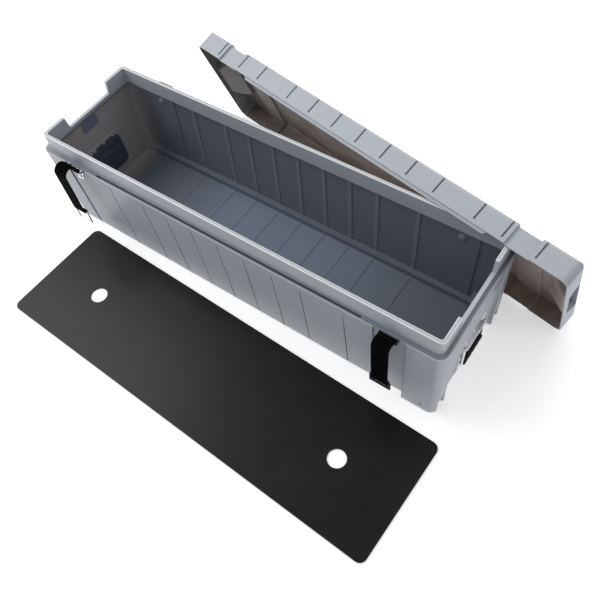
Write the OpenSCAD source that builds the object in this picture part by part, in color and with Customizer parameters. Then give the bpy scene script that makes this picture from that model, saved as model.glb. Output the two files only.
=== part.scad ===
// Long moulded case with a lift-off lid, a loose cover sheet, buckle straps, end handles and two wheels.
// Millimetres, +Z up. The origin is the middle of the flat underside, and the case runs along X.

/* [Case] */
// Length over the shoulder, of the case and of its lid
case_l = 1300; // [1250:10:1400]
// Width over the shoulder, of the case and of its lid
case_w = 369; // [355:1:385]
// Corner radius seen from above
corner_r = 25; // [20:1:30]
// Thickness of the moulded walls
wall = 5.5; // [4.5:0.5:7]
// Height of the shoulder, on which the lid sits
shoulder_h = 290; // [280:1:310]
// Draw-in of each side wall from the shoulder down to the underside
taper_in = 11; // [6:1:14]
// Rounding of the lower edges
foot_r = 16; // [10:1:20]
// Rounding inside, between walls and floor
floor_r = 12; // [8:1:16]
// How far below the shoulder the inside of the wall starts to lean in to the rim
soffit_drop = 21; // [18:1:28]

/* [Rim] */
// Height of the rim above the shoulder
rim_h = 51; // [46:1:54]
// Thickness of the rim
rim_t = 10; // [8:0.5:12]
// Shelf from the rim to the shoulder edge along the long sides
shelf_side = 15.5; // [14:0.5:18]
// Shelf from the rim to the shoulder edge at the ends
shelf_end = 12; // [10:0.5:16]
// Outer corner radius of the rim
rim_r = 14; // [12:1:18]
// Width of the notch in each end of the rim, at its top
notch_w = 176; // [170:1:200]
// How far each side of the notch draws in at its bottom
notch_lean = 5; // [0:1:8]
// Depth of the notch
notch_depth = 40; // [36:1:44]

/* [Wall details] */
// Width of the upright grooves in the long walls
groove_w = 2.5; // [2:0.5:4]
// Depth of the upright grooves
groove_depth = 2; // [1:0.5:3]
// Spacing of the grooves between the two middle panels
groove_pitch = 87; // [80:1:92]
// Distance from the middle of a strap zone back to the last groove
groove_back = 126; // [118:1:134]
// Gap from the shoulder down to the top of the grooves
groove_top = 18; // [12:1:24]
// Width of the ridge that backs each groove inside
ridge_w = 11; // [8:1:16]
// Height of that ridge off the inner wall
ridge_h = 2.5; // [1.5:0.5:4]
// Distance from the ends of the shoulder to the middle of the strap zones
strap_in = 139; // [135:1:150]
// Width of the strap zones
zone_w = 86; // [78:1:92]
// Depth of the strap zones
zone_depth = 3; // [2:0.5:4]
// Distance from the middle of a strap zone back to the end of the slot that takes the lid's tongue
slot_back = 78; // [61:1:100]
// Width of that slot
slot_w = 7; // [6:0.5:8]
// Depth of that slot
slot_depth = 11; // [9:0.5:12]
// Distance from the outer face to the middle of the slot and tongue
slot_in = 8; // [7.5:0.5:9]
// Width of the ledge along each long side of the floor
ledge_w = 16; // [12:1:22]
// Height of that ledge above the floor
ledge_h = 22; // [16:1:28]
// Width of the low ribs across the floor
floor_rib_w = 9; // [6:1:12]
// Height of those ribs
floor_rib_h = 2; // [1:0.5:3]

/* [Wheels] */
// Radius of the wheels
wheel_r = 26; // [22:1:28]
// Width of the wheels
wheel_w = 26; // [20:1:28]
// Gap under the wheels while the case stands flat
wheel_lift = 0.5; // [0.3:0.1:1]
// Distance of the wheel axle from the end of the case
wheel_in = 42; // [38:1:46]
// Gap round and beside the wheel in its pocket
wheel_gap = 3; // [2:0.5:4]
// Radius of the wheel axles
axle_r = 4; // [3:0.5:5]
// Distance of the axle's end below the face of its block
axle_in = 0.5; // [0.3:0.1:1]
// Radius of the wheels' hubs
hub_r = 11; // [9:0.5:12]
// Thickness of the wheels' treads
tread_t = 5; // [4:0.5:6]
// Depth of the hollow between hub and tread on each side of a wheel
wheel_dish = 6; // [3:0.5:8]
// Rounding of the treads' edges
tread_edge = 2; // [1:0.5:3]
// Running clearance of a wheel on its axle
axle_play = 0.08; // [0.05:0.01:0.1]
// Clearance of a pin, rivet or bolt that is fixed in its hole
pin_fit = 0.05; // [0.05:0.05:0.2]
// Length of the upright corner blocks at the wheel end
block_l = 96; // [90:1:96]
// Width of those blocks
block_w = 54; // [52:1:60]
// Rounding of the blocks' lower corner towards the middle of the case
block_r = 8; // [4:1:12]

/* [Lid] */
// Depth of the lid
lid_h = 62; // [60:1:70]
// Thickness of the lid's walls
lid_wall = 4; // [3:0.5:4.5]
// Rounding of the lid's top edges
lid_edge_r = 10; // [6:1:14]
// Width of the channels for the straps
channel_w = 66; // [60:1:72]
// Depth of the channels for the straps
channel_depth = 7; // [5:0.5:7]
// Depth of the tongue below the lid's rim
tongue_h = 8; // [6:0.5:8.5]
// Thickness of the tongue
tongue_t = 3; // [2:0.5:3]
// Distance from the lid's outer face to the middle of the tongue
tongue_in = 6.5; // [6:0.5:7]
// Gap between each end of the tongue and the end of its slot
tongue_play = 3; // [2:0.5:5]
// Reach of the hand scoop inward from the end
scoop_reach = 64; // [56:1:70]
// Width of the hand scoop at the lid's top
scoop_w = 158; // [140:2:160]
// Width of the hand scoop near its floor
scoop_low_w = 138; // [120:2:140]
// Width and height of the sloped corners of the scoop's floor
scoop_r = 12; // [8:1:18]
// Length of the scoop's level floor
scoop_run = 8; // [4:1:12]
// Height of the upright lip at the scoop's inner end
scoop_lip = 12; // [8:1:16]
// Thickness of the lid's top over the scoop
scoop_roof = 6; // [5:0.5:7]
// Gap between the scoop and the notch of the rim when the lid is on
scoop_play = 1; // [1:0.5:2]
// Gap from the lid's rim up to its upright lines
line_low = 10; // [8:1:14]
// Width of the upright lines in the lid's long walls
line_w = 5; // [3:0.5:6]
// Distance from the middle to the narrow lines beside the strap channels
line_edge = 46; // [44:1:50]

/* [Leaning lid] */
// Place of the middle of the lid's rim, along the case
lid_x = 164.7; // [160:0.1:170]
// Distance from the rear wall out to the middle of the leaning lid's upper edge
lid_back = 37.7; // [35:0.1:42]
// Turn of the leaning lid seen from above
lid_yaw = -10.9; // [-12:0.1:-10]
// Gap left between the lid and the rim that it leans on
rest_gap = 0.3; // [0.2:0.1:0.5]
// Lean of a lid that is too narrow to reach from the ground over the rim, and hangs on the rim
hung_lean = 15; // [12:1:17]

/* [Cover sheet] */
// Length of the loose cover sheet
sheet_l = 1252; // [1200:1:1260]
// Width of the cover sheet
sheet_w = 346; // [320:1:350]
// Thickness of the cover sheet
sheet_t = 5; // [4:0.5:8]
// Corner radius of the cover sheet
sheet_r = 20; // [12:1:30]
// Radius of the two finger holes
finger_r = 25; // [20:0.5:30]
// Distance of the finger holes from the middle of the sheet
finger_x = 434; // [400:1:460]
// Place of the sheet on the floor, along the case
sheet_x = 71.9; // [65:0.1:80]
// Place of the sheet on the floor, in front of the case
sheet_y = -396.7; // [-402:0.1:-392]
// Turn of the sheet on the floor
sheet_yaw = -1.97; // [-2.2:0.01:-1.8]

/* [End handles] */
// Height of the middle of the handle plates
handle_z = 106; // [104:1:110]
// Distance of the handle seats from the ends of the shoulder
seat_in = 6.5; // [5.5:0.5:8]
// Width of the handle plates
plate_w = 132; // [130:1:136]
// Height of the handle plates
plate_h = 120; // [118:1:122]
// Thickness of the handle plates
plate_t = 1.5; // [1.2:0.1:2]
// Corner radius of the handle plates
plate_r = 10; // [6:1:14]
// Width of the dish behind the grip
dish_w = 108; // [106:1:109]
// Height of the dish
dish_h = 74; // [70:1:75]
// Depth of the dish behind the plate
dish_depth = 25; // [18:1:30]
// Corner radius of the dish
dish_r = 14; // [8:1:18]
// Distance of the dish's middle below the plate's middle
dish_drop = 11; // [10:0.5:12]
// Radius of the bail rod
bail_r = 3.2; // [3:0.1:3.5]
// Clearance of the bail rod in its knuckle
bail_play = 0.1; // [0.06:0.02:0.2]
// Distance of the bail's pivot above the plate's middle
pivot_up = 36; // [35:0.5:37]
// Distance of the bail's pivot in front of the plate
pivot_out = 4.6; // [4.4:0.1:5]
// Width of the knuckle that holds the bail
knuckle_w = 90; // [80:1:94]
// Height of the knuckle
knuckle_h = 12; // [10:0.5:12.5]
// Distance between the bail's side rods
bail_w = 108; // [107:1:109]
// Distance from the bail's pivot down to its grip
bail_drop = 70; // [68:1:71]
// Radius of the grip
grip_r = 7.5; // [7:0.25:8]
// Length of the grip
grip_l = 100; // [94:1:101]
// Radius of the rivet shanks
rivet_r = 2.2; // [1.8:0.1:2.5]
// Radius of the rivet heads
rivet_head_r = 4.5; // [4:0.1:4.8]
// Height of the rivet heads
rivet_head_h = 1.6; // [1.2:0.1:2]
// Radius of the rivet washers inside the case
washer_r = 5.5; // [5:0.1:5.8]
// Thickness of the rivet washers
washer_t = 1.5; // [1:0.1:2]
// Distance of the rivets from the edge of the plate
rivet_in = 5.6; // [5:0.1:5.8]
// Distance of the corner rivets from the middle of the plate
rivet_x = 42; // [38:1:46]

/* [Straps] */
// Width of the straps
strap_w = 46; // [40:1:48]
// Thickness of the straps
strap_t = 3; // [2.5:0.25:3.5]
// Distance of the anchor bolts below the shoulder
bolt_drop = 39; // [36:1:44]
// Distance of the anchor bars below the shoulder
bar_drop = 6; // [6:0.5:8]
// Distance of the anchor bars in front of the wall
bar_out = 5; // [4.5:0.25:6]
// Radius of the anchor bars and buckle bars
bar_r = 2.5; // [2:0.25:3]
// Clearance of a strap round its bars, and of its edges beside the ears
strap_play = 0.5; // [0.4:0.1:0.8]
// Thickness of the anchor plates
anchor_t = 2.5; // [2:0.25:3]
// Radius of the rounded lower end of the anchor plates
anchor_r = 11; // [10:0.5:13]
// Radius of the anchor bolts
bolt_r = 3; // [2.5:0.25:4]
// Radius of the anchor bolts' heads
bolt_head_r = 6.5; // [6:0.5:8]
// Height of the anchor bolts' heads
bolt_head_h = 3.5; // [3:0.5:5]
// Radius of the domed caps inside the walls
cap_r = 12; // [10:0.5:14]
// Height of the domed caps
cap_h = 8; // [7:0.5:10]
// Rise of the front left strap above its bar
front_left_rise = 15; // [8:1:20]
// Bend radius of the front left strap
front_left_bend = 21; // [18:1:24]
// Bend radius of the front right strap
front_right_bend = 15; // [12:1:18]
// Bend radius of the rear left strap
rear_left_bend = 9; // [8:1:12]
// Bend radius of the rear right strap, which hangs inside the leaning lid
rear_right_bend = 7; // [7:0.5:9]
// Hang of the front left strap below its bar
front_left_hang = 128; // [110:1:135]
// Hang of the other three straps below their bars
strap_hang = 158; // [140:1:165]

/* [Buckles] */
// Length of the wire hooks
hook_l = 46; // [40:1:52]
// Radius of the hooks' wire
wire_r = 2.2; // [2:0.1:2.4]
// Length of the slotted buckles
buckle_l = 30; // [28:1:36]
// Thickness of the slotted buckles
buckle_t = 4; // [3:0.5:4.5]
// Height of the slot in those buckles
buckle_slot = 9; // [8:0.5:12]
// Width of the frame round that slot
buckle_rim = 6; // [5:0.5:7]

/* [Hidden] */

$fn = 48;
hull_fn = 32;
edge_step = 22.5;
skin = 0.02;
overrun = 2;

rim_top = shoulder_h + rim_h;
rim_l = case_l - 2*shelf_end;
rim_w = case_w - 2*shelf_side;
draft = atan(taper_in/shoulder_h);
inner_l = case_l - 2*wall;
inner_w = case_w - 2*wall;
strap_x = case_l/2 - strap_in;
groove_places = [0, groove_pitch, 2*groove_pitch, 3*groove_pitch, strap_x - groove_back];
slot_l = 2*(strap_x - slot_back);
seat_x = case_l/2 - seat_in;
pad_w = plate_w + 2*wall;
pad_h = plate_h + 2*wall;
wheel_x = case_l/2 - wheel_in;
wheel_z = wheel_r + wheel_lift;
pocket_w = wheel_w + 2*wheel_gap;
pocket_side = case_w/2 - block_w + wall;
wheel_y = pocket_side + pocket_w/2;
pocket_top = wheel_z + wheel_r + wheel_gap;
pocket_l = wheel_in + wheel_r + wheel_gap;
ear_t = anchor_t;
ear_x = strap_w/2 + strap_play;
bar_y = case_w/2 + bar_out*cos(draft) - bar_drop*sin(draft);
bar_z = shoulder_h - bar_out*sin(draft) - bar_drop*cos(draft);
eye_r = bar_r + strap_play;
eye_mid = eye_r + strap_t/2;
inner_half = case_w/2 - channel_depth - lid_wall;
tongue_root = tongue_in + tongue_t/2;
channel_reach = case_w/2 + inner_half - rest_gap;
tongue_reach = norm([case_w - tongue_root - rest_gap, tongue_h]);
stands = rim_top < cos(hung_lean)*min(channel_reach, tongue_reach);
lean = !stands ? hung_lean
    : min(acos(rim_top/channel_reach),
          acos(rim_top/tongue_reach) - atan(tongue_h/(case_w - tongue_root - rest_gap)));
lid_y = case_w/2 + lid_back + case_w/2*sin(lean)*cos(lid_yaw);
lid_z = stands ? case_w/2*cos(lean) : rim_top - (inner_half - rest_gap)*cos(lean);
scoop_floor = rim_h - notch_depth + scoop_play + lid_wall;
ledge_in = taper_in + wall + ledge_w;
hook_side = strap_w/2 + strap_play + wire_r;
dome_r = (cap_r*cap_r + cap_h*cap_h)/(2*cap_h);

// A rectangle with round corners
module rounded_rect(l, w, r) {
    square([l - 2*r, w], center = true);
    square([l, w - 2*r], center = true);
    for (sx = [-1, 1], sy = [-1, 1])
        translate([sx*(l/2 - r), sy*(w/2 - r)]) circle(r);
}

// A thin level slice of a shell, for the hulls
module slice(l, w, r, z) {
    translate([0, 0, z]) linear_extrude(skin) rounded_rect(l, w, r, $fn = hull_fn);
}

// A shell form that narrows from z = top down to a rounded lower edge at z = low
module tapered_form(l, w, r, low, top, inset, edge_r) {
    hull() {
        slice(l, w, r, top - skin);
        for (a = [0 : edge_step : 90]) {
            in = inset + edge_r*(1 - sin(a));
            slice(l - 2*in, w - 2*in, r - edge_r*(1 - sin(a)), low + edge_r*(1 - cos(a)));
        }
    }
}

// Children stand on a long wall's outer face: x along the case, y outward, z up from the shoulder
module on_wall(side) {
    mirror([0, side < 0 ? 1 : 0, 0])
        translate([0, case_w/2, shoulder_h]) rotate([-draft, 0, 0]) children();
}

// Children lie on an end's handle seat: x along the case's width, y up, z outward
module on_end(side) {
    mirror([side < 0 ? 1 : 0, 0, 0])
        translate([seat_x, 0, handle_z]) rotate([90, 0, 90]) children();
}

// Upright strip in front of or behind the face of a long wall
module wall_strip(x, w, out, depth, top) {
    translate([x - w/2, out - depth, -shoulder_h - overrun])
        cube([w, depth, shoulder_h + overrun - top]);
}

// Base

module base_outside() {
    tapered_form(case_l, case_w, corner_r, 0, shoulder_h, taper_in, foot_r);
    translate([0, 0, shoulder_h - soffit_drop/2])
        linear_extrude(rim_h + soffit_drop/2) rounded_rect(rim_l, rim_w, rim_r);
    intersection() {
        tapered_form(case_l, case_w, corner_r, 0, shoulder_h, 0, foot_r - taper_in);
        for (side = [-1, 1])
            translate([case_l/2 - block_l, side*(case_w/2 - block_w/2) + block_w/2, 0])
                rotate([90, 0, 0]) linear_extrude(block_w) {
                    translate([block_r, 0]) square([block_l - block_r, shoulder_h]);
                    translate([0, block_r]) square([block_l, shoulder_h - block_r]);
                    translate([block_r, block_r]) circle(block_r);
                }
    }
    for (side = [-1, 1])
        on_end(side) translate([-pad_w/2, -pad_h/2, -wall]) cube([pad_w, pad_h, wall]);
}

module base_hollow() {
    hull() {
        tapered_form(inner_l, inner_w, corner_r - wall, wall, shoulder_h - soffit_drop, taper_in, floor_r);
        slice(rim_l - 2*rim_t, rim_w - 2*rim_t, rim_r/2, shoulder_h);
    }
}

// Material that stands in the hollow: wheel housings, pads, ridges, ledges and floor ribs
module base_inside_forms() {
    for (side = [-1, 1]) {
        translate([case_l/2 - pocket_l - wall, side*(case_w/2 - block_w/2) - block_w/2, 0])
            cube([pocket_l + wall, block_w, pocket_top + wall]);
        on_wall(side) {
            for (place = groove_places, way = [-1, 1])
                wall_strip(way*place, ridge_w, 0, wall + ridge_h, soffit_drop);
            for (way = [-1, 1])
                wall_strip(way*strap_x, zone_w + 2*wall, 0, wall + zone_depth, soffit_drop);
        }
        translate([-case_l/2, side*(case_w/2 - ledge_in/2) - ledge_in/2, 0])
            cube([case_l, ledge_in, wall + ledge_h]);
        on_end(side) translate([-pad_w/2, -pad_h/2, -wall]) cube([pad_w, pad_h, wall]);
    }
    for (place = groove_places, way = [-1, 1])
        translate([way*place - floor_rib_w/2, -case_w/2, 0]) cube([floor_rib_w, case_w, wall + floor_rib_h]);
}

// Notch through one end of the rim
module rim_notch(side) {
    translate([side*rim_l/2 - rim_t - overrun, 0, rim_top])
        rotate([90, 0, 90]) linear_extrude(2*rim_t + 2*overrun)
            polygon([
                [-notch_w/2, overrun], [-notch_w/2, 0], [notch_lean - notch_w/2, -notch_depth],
                [notch_w/2 - notch_lean, -notch_depth], [notch_w/2, 0], [notch_w/2, overrun]
            ]);
}

module handle_openings(side) {
    on_end(side) {
        translate([-pad_w/2, -pad_h/2, 0]) cube([pad_w, pad_h, seat_in + overrun]);
        translate([-pad_w/2, -pad_h/2, -2*wall - taper_in]) cube([pad_w, pad_h, wall + taper_in]);
        translate([0, -dish_drop, -wall - overrun])
            linear_extrude(wall + 2*overrun) rounded_rect(dish_w + 2*pin_fit, dish_h + 2*pin_fit, dish_r);
        rivet_places()
            translate([0, 0, -wall - overrun]) cylinder(r = rivet_r + pin_fit, h = wall + 2*overrun);
    }
}

module wheel_openings(side) {
    translate([case_l/2 - pocket_l, side*wheel_y - pocket_w/2, -overrun])
        cube([pocket_l + overrun, pocket_w, pocket_top + overrun]);
    translate([wheel_x, side*case_w/2, wheel_z])
        rotate([side*90, 0, 0]) translate([0, 0, -overrun])
            cylinder(r = axle_r + pin_fit, h = block_w + 2*overrun);
}

module base_shell() color("lightslategray") difference() {
    base_outside();
    difference() {
        base_hollow();
        base_inside_forms();
    }
    translate([0, 0, shoulder_h - skin])
        linear_extrude(rim_h + overrun) rounded_rect(rim_l - 2*rim_t, rim_w - 2*rim_t, rim_r/2);
    for (side = [-1, 1]) {
        rim_notch(side);
        handle_openings(side);
        wheel_openings(side);
        translate([-slot_l/2, side*(case_w/2 - slot_in) - slot_w/2, shoulder_h - slot_depth])
            cube([slot_l, slot_w, slot_depth + overrun]);
        on_wall(side) {
            for (place = groove_places, way = [-1, 1])
                wall_strip(way*place, groove_w, overrun, groove_depth + overrun, groove_top);
            for (way = [-1, 1]) {
                wall_strip(way*strap_x, zone_w, overrun, zone_depth + overrun, 0);
                translate([way*strap_x, overrun, -bolt_drop])
                    rotate([90, 0, 0]) cylinder(r = bolt_r + pin_fit, h = zone_depth + wall + 2*overrun);
            }
        }
    }
}

// Lid, drawn closed: rim plane at z = 0, top face at z = lid_h

module lid_form(l, w, r, top, edge_r, low) {
    intersection() {
        translate([0, 0, low]) linear_extrude(top - low) rounded_rect(l, w, r);
        rotate([90, 0, 90]) linear_extrude(l, center = true) lid_section(w, top, edge_r, low);
        rotate([90, 0, 0]) linear_extrude(w, center = true) lid_section(l, top, edge_r, low);
    }
}

// Section of the lid's form, with its two upper corners rounded
module lid_section(w, top, r, low) {
    translate([-w/2, low]) square([w, top - r - low]);
    translate([r - w/2, low]) square([w - 2*r, top - low]);
    for (s = [-1, 1]) translate([s*(w/2 - r), top - r]) circle(r);
}

// Space outside a bridge of the given thickness below the lid's walls and top
module over_bridge(x, w, down) {
    difference() {
        translate([x - w/2, -case_w/2 - overrun, -overrun]) cube([w, case_w + 2*overrun, lid_h + 2*overrun]);
        translate([x - w/2 - overrun, down - case_w/2, -2*overrun])
            cube([w + 2*overrun, case_w - 2*down, lid_h + 2*overrun - down]);
    }
}

// Half of the hand scoop's outline across the end: y outward, z up from the lid's rim
function scoop_half(grow) = [
    [0, scoop_floor - grow],
    [scoop_low_w/2 - scoop_r, scoop_floor - grow],
    [scoop_low_w/2 + grow, scoop_floor + scoop_r],
    [scoop_w/2 + grow, lid_h + overrun],
    [0, lid_h + overrun]
];

// Form that carries a hand scoop, grown all round by the given amount
module scoop(side, grow) {
    intersection() {
        rotate([90, 0, side*90]) translate([0, 0, case_l/2 - scoop_reach - grow])
            linear_extrude(scoop_reach + grow + overrun)
                for (s = [-1, 1]) scale([s, 1]) polygon(scoop_half(grow));
        scale([side, 1, 1]) translate([case_l/2, case_w/2, 0]) rotate([90, 0, 0]) linear_extrude(case_w)
            polygon([
                [2*overrun, scoop_floor - grow - overrun],
                [-scoop_run - grow, scoop_floor - grow - overrun],
                [-scoop_reach - grow, lid_h - scoop_lip - grow],
                [-scoop_reach - grow, lid_h + 2*overrun],
                [2*overrun, lid_h + 2*overrun]
            ]);
    }
}

// Hand scoop at one end, open through the end wall and closed above
module scoop_hollow(side) {
    intersection() {
        scoop(side, 0);
        translate([-case_l, -case_w/2, 0]) cube([2*case_l, case_w, lid_h - scoop_roof]);
    }
}

module lid_tongue(side) {
    tip = slot_l/2 - tongue_play - tongue_h;
    translate([0, side*(case_w/2 - tongue_in) + tongue_t/2, 0])
        rotate([90, 0, 0]) linear_extrude(tongue_t)
            polygon([
                [-tip - tongue_h, lid_wall], [-tip - tongue_h, 0], [-tip, -tongue_h],
                [tip, -tongue_h], [tip + tongue_h, 0], [tip + tongue_h, lid_wall]
            ]);
}

module lid_closed() {
    difference() {
        lid_form(case_l, case_w, corner_r, lid_h, lid_edge_r, 0);
        difference() {
            lid_form(case_l - 2*lid_wall, case_w - 2*lid_wall, corner_r - lid_wall,
                     lid_h - lid_wall, lid_edge_r - lid_wall, -overrun);
            for (way = [-1, 1]) {
                over_bridge(way*strap_x, channel_w + 2*lid_wall, channel_depth + lid_wall);
                scoop(way, lid_wall);
            }
            for (side = [-1, 1])
                translate([-slot_l/2, side*(case_w/2 - tongue_root/2) - tongue_root/2, 0])
                    cube([slot_l, tongue_root, 2*lid_wall]);
        }
        for (way = [-1, 1]) {
            over_bridge(way*strap_x, channel_w, channel_depth);
            scoop_hollow(way);
        }
        for (side = [-1, 1], way = [-1, 1]) {
            for (place = groove_places) lid_line(side, way*place);
            for (edge = [-1, 1]) lid_line(side, way*(strap_x + edge*line_edge));
        }
    }
    for (side = [-1, 1]) lid_tongue(side);
}

// Upright line pressed in a long wall of the lid
module lid_line(side, x) {
    translate([x - line_w/2, side*case_w/2 - groove_depth, line_low])
        cube([line_w, 2*groove_depth, lid_h - lid_edge_r/2 - line_low]);
}

module lid_shell() color("lightslategray")
    translate([lid_x, lid_y, lid_z]) rotate([0, 0, lid_yaw]) rotate([lean - 90, 0, 0]) lid_closed();

// Cover sheet

module cover_sheet() color("dimgray")
    translate([sheet_x, sheet_y, 0]) rotate([0, 0, sheet_yaw]) linear_extrude(sheet_t) difference() {
        rounded_rect(sheet_l, sheet_w, sheet_r);
        for (way = [-1, 1]) translate([way*finger_x, 0]) circle(finger_r);
    }

// End handles

module rivet_places() {
    for (sy = [-1, 1], x = [-rivet_x, 0, rivet_x])
        translate([x, sy*(plate_h/2 - rivet_in), 0]) children();
    for (sx = [-1, 1]) translate([sx*(plate_w/2 - rivet_in), 0, 0]) children();
}

module handle_plate(side) color("silver") on_end(side) difference() {
    union() {
        linear_extrude(plate_t) rounded_rect(plate_w, plate_h, plate_r);
        translate([0, -dish_drop, -dish_depth])
            linear_extrude(dish_depth + plate_t) rounded_rect(dish_w, dish_h, dish_r);
        translate([-knuckle_w/2, pivot_up - knuckle_h/2, 0])
            cube([knuckle_w, knuckle_h, plate_t + pivot_out + bail_r + plate_t]);
    }
    translate([0, -dish_drop, plate_t - dish_depth])
        linear_extrude(dish_depth + overrun)
            rounded_rect(dish_w - 2*plate_t, dish_h - 2*plate_t, dish_r - plate_t);
    translate([-knuckle_w/2 - overrun, pivot_up, plate_t + pivot_out])
        rotate([0, 90, 0]) cylinder(r = bail_r + bail_play, h = knuckle_w + 2*overrun);
    rivet_places() translate([0, 0, -overrun]) cylinder(r = rivet_r + pin_fit, h = plate_t + 2*overrun);
}

// Closed rod loop that hangs from the knuckle
module handle_bail(side) color("silver") on_end(side) translate([0, pivot_up, plate_t + pivot_out]) {
    for (down = [0, bail_drop])
        translate([-bail_w/2, -down, 0]) rotate([0, 90, 0]) cylinder(r = bail_r, h = bail_w);
    for (way = [-1, 1]) {
        translate([way*bail_w/2, -bail_drop, 0]) rotate([-90, 0, 0]) cylinder(r = bail_r, h = bail_drop);
        for (down = [0, bail_drop]) translate([way*bail_w/2, -down, 0]) sphere(bail_r);
    }
}

module handle_grip(side) color("black") on_end(side)
    translate([-grip_l/2, pivot_up - bail_drop, plate_t + pivot_out]) rotate([0, 90, 0]) difference() {
        cylinder(r = grip_r, h = grip_l);
        translate([0, 0, -overrun]) cylinder(r = bail_r + pin_fit, h = grip_l + 2*overrun);
    }

module handle_rivets(side) color("gainsboro") on_end(side) rivet_places() {
    translate([0, 0, plate_t]) cylinder(r1 = rivet_head_r, r2 = rivet_r, h = rivet_head_h);
    translate([0, 0, -wall - 2*washer_t]) cylinder(r = rivet_r, h = wall + 2*washer_t + plate_t);
}

module rivet_washers(side) color("gainsboro") on_end(side) rivet_places()
    translate([0, 0, -wall - washer_t]) difference() {
        cylinder(r = washer_r, h = washer_t);
        translate([0, 0, -overrun]) cylinder(r = rivet_r + pin_fit, h = washer_t + 2*overrun);
    }

// Wheels

module wheel(side) color("black")
translate([wheel_x, side*wheel_y, wheel_z]) rotate([90, 0, 0]) difference() {
    rotate_extrude() {
        translate([0, -wheel_w/2]) square([hub_r, wheel_w]);
        translate([0, wheel_dish - wheel_w/2]) square([wheel_r, wheel_w - 2*wheel_dish]);
        translate([wheel_r - tread_t, -wheel_w/2]) square([tread_t - tread_edge, wheel_w]);
        translate([wheel_r - tread_t, tread_edge - wheel_w/2]) square([tread_t, wheel_w - 2*tread_edge]);
        for (s = [-1, 1])
            translate([wheel_r - tread_edge, s*(wheel_w/2 - tread_edge)]) circle(tread_edge);
    }
    cylinder(r = axle_r + axle_play, h = wheel_w + 2*overrun, center = true);
}

module axle(side) color("dimgray") translate([wheel_x, side*(case_w/2 - axle_in), wheel_z])
    rotate([side*90, 0, 0]) cylinder(r = axle_r, h = block_w - axle_in);

// Straps

// Anchor plate with two ears and the bar that a strap hangs on
module anchor(side, way) color("silver") on_wall(side) translate([way*strap_x, 0, 0]) {
    difference() {
        translate([0, anchor_t - zone_depth, 0]) rotate([90, 0, 0]) linear_extrude(anchor_t) {
            polygon([
                [-anchor_r, -bolt_drop], [anchor_r, -bolt_drop],
                [ear_x + ear_t, -bar_drop - bar_r], [ear_x + ear_t, -bar_drop], [-ear_x - ear_t, -bar_drop],
                [-ear_x - ear_t, -bar_drop - bar_r]
            ]);
            translate([0, -bolt_drop]) circle(anchor_r);
        }
        translate([0, overrun, -bolt_drop])
            rotate([90, 0, 0]) cylinder(r = bolt_r + pin_fit, h = zone_depth + 2*overrun);
        translate([0, bar_out, -bar_drop]) rotate([0, 90, 0])
            cylinder(r = eye_mid + strap_t/2 + strap_play, h = 2*ear_x, center = true);
    }
    for (s = [-1, 1])
        translate([s*(ear_x + ear_t/2) - ear_t/2, -zone_depth, -bar_drop - bar_r - bar_r])
            cube([ear_t, zone_depth + bar_out, 4*bar_r]);
    for (s = [-1, 1])
        translate([s*(ear_x + ear_t/2) - ear_t/2, bar_out, -bar_drop])
            rotate([0, 90, 0]) cylinder(r = 2*bar_r, h = ear_t);
    translate([-ear_x - ear_t, bar_out, -bar_drop])
        rotate([0, 90, 0]) cylinder(r = bar_r, h = 2*(ear_x + ear_t));
}

// Children stand at a strap's bar: x along the case, y outward, z up
module at_bar(side, way) {
    mirror([0, side < 0 ? 1 : 0, 0]) translate([way*strap_x, bar_y, bar_z]) children();
}

module band(mid_r) {
    difference() {
        circle(mid_r + strap_t/2);
        circle(mid_r - strap_t/2);
    }
}

// Side view of a strap: an eye on the anchor bar, a bend outward, the hang and an eye for the buckle
module strap_outline(rise, bend, hang) {
    band(eye_mid);
    translate([eye_mid - strap_t/2, 0]) square([strap_t, rise + skin]);
    translate([eye_mid + bend, rise]) intersection() {
        band(bend);
        translate([-2*bend, 0]) square([4*bend, 2*bend]);
    }
    translate([eye_mid + 2*bend - strap_t/2, -hang]) square([strap_t, hang + rise]);
    translate([2*bend, -hang]) band(eye_mid);
}

module strap(side, way, rise, bend, hang) color([0.08, 0.08, 0.09]) at_bar(side, way)
    translate([-strap_w/2, 0, 0]) rotate([90, 0, 90]) linear_extrude(strap_w) strap_outline(rise, bend, hang);

// Wire frame with a tongue, which hooks over the strap of the other side
module wire_hook(side, way, bend, hang) color("silver") at_bar(side, way) translate([0, 2*bend, -hang]) {
    for (down = [0, hook_l])
        translate([-hook_side, 0, -down]) rotate([0, 90, 0]) cylinder(r = wire_r, h = 2*hook_side);
    for (s = [-1, 1]) {
        translate([s*hook_side, 0, -hook_l]) cylinder(r = wire_r, h = hook_l);
        for (down = [0, hook_l]) translate([s*hook_side, 0, -down]) sphere(wire_r);
    }
}

// Flat buckle with a slot, on a bar in the strap's lower eye
module slot_buckle(side, way, bend, hang) color([0.1, 0.1, 0.1])
at_bar(side, way) translate([0, 2*bend, -hang]) {
    arm = strap_w/2 + strap_play;
    eye_out = eye_mid + strap_t/2 + strap_play;
    translate([-arm - buckle_rim, 0, 0]) rotate([0, 90, 0]) cylinder(r = bar_r, h = 2*(arm + buckle_rim));
    difference() {
        translate([-arm - buckle_rim, -buckle_t/2, -buckle_l])
            cube([2*(arm + buckle_rim), buckle_t, buckle_l]);
        translate([-arm, -buckle_t/2 - overrun, -eye_out])
            cube([2*arm, buckle_t + 2*overrun, eye_out + overrun]);
        translate([buckle_rim - arm, -buckle_t/2 - overrun, -buckle_l + buckle_rim])
            cube([2*(arm - buckle_rim), buckle_t + 2*overrun, buckle_slot]);
    }
}

module all_anchor_places() {
    for (side = [-1, 1], way = [-1, 1]) on_wall(side) translate([way*strap_x, 0, -bolt_drop]) children();
}

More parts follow.
